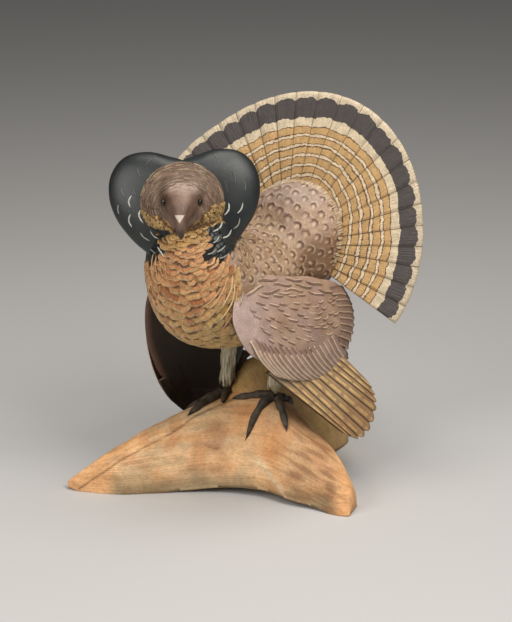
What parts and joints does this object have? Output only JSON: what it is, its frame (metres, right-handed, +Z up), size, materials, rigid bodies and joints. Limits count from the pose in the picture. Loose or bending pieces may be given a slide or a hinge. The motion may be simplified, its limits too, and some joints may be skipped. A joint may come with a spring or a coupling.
{
  "type": "displaying grouse carving",
  "caption": "Painted wooden grouse in display, with a spread half-round tail fan, drooped wings and a heart-shaped neck ruff, standing on a branching piece of driftwood.",
  "frame": {"origin": "on the floor under the middle of the whole object's bounding box", "axes": "+Z up; the bird's body faces -Y and its left side is +X; its head and the driftwood are turned 42 degrees towards +X"},
  "size_m": [0.2498, 0.2948, 0.3823],
  "materials": {
    "driftwood": "weathered, oiled",
    "body_paint": "painted, satin",
    "ruff_paint": "painted, satin",
    "tail_paint": "painted, satin",
    "wing_paint": "painted, satin",
    "leg_paint": "painted, satin",
    "eye_gloss": "gloss, opaque"
  },
  "bodies": {
    "root": {"driftwood_base": "driftwood", "body": "body_paint", "ruff": "ruff_paint", "tail_fan": "tail_paint", "left_wing": "wing_paint", "right_wing": "wing_paint", "left_leg": "leg_paint", "right_leg": "leg_paint", "left_eye": "eye_gloss", "right_eye": "eye_gloss"}
  },
  "joints": []
}
